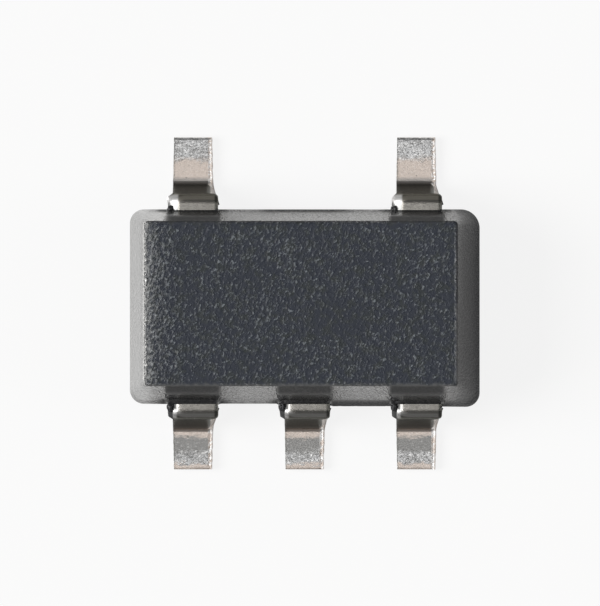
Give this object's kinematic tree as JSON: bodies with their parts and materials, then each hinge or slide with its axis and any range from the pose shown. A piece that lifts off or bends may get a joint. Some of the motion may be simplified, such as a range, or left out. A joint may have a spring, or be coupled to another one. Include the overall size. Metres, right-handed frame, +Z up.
{
  "type": "operational amplifier chip",
  "caption": "Surface-mount amplifier chip: a black moulded block with drafted sides and tin-plated gull-wing leads, two on one long side and three on the other.",
  "frame": {"origin": "centre of the bounding box in plan, on the seating plane under the feet", "axes": "+X along the rows of leads, from lead 1 towards lead 3; +Y towards the side with two leads; +Z up from the seating plane, out of the plain top face"},
  "size_m": [0.003, 0.0028, 0.0012],
  "materials": {
    "moulded_epoxy": "dark grey moulding compound, finely eroded grain on the top and bottom, smoother drafted sides",
    "tin_plate": "satin tin plate over a stamped copper alloy lead, burnished at the bends",
    "silicon": "polished",
    "silver_adhesive": "cured silver-filled adhesive",
    "gold": "bright drawn wire"
  },
  "bodies": {
    "root": {"package_body": "moulded_epoxy", "lead_1": "tin_plate", "lead_2": "tin_plate", "lead_3": "tin_plate", "lead_4": "tin_plate", "lead_5": "tin_plate", "silicon_die": "silicon", "die_attach": "silver_adhesive", "bond_wire_1": "gold", "bond_wire_2": "gold", "bond_wire_3": "gold", "bond_wire_4": "gold", "bond_wire_5": "gold"}
  },
  "joints": []
}
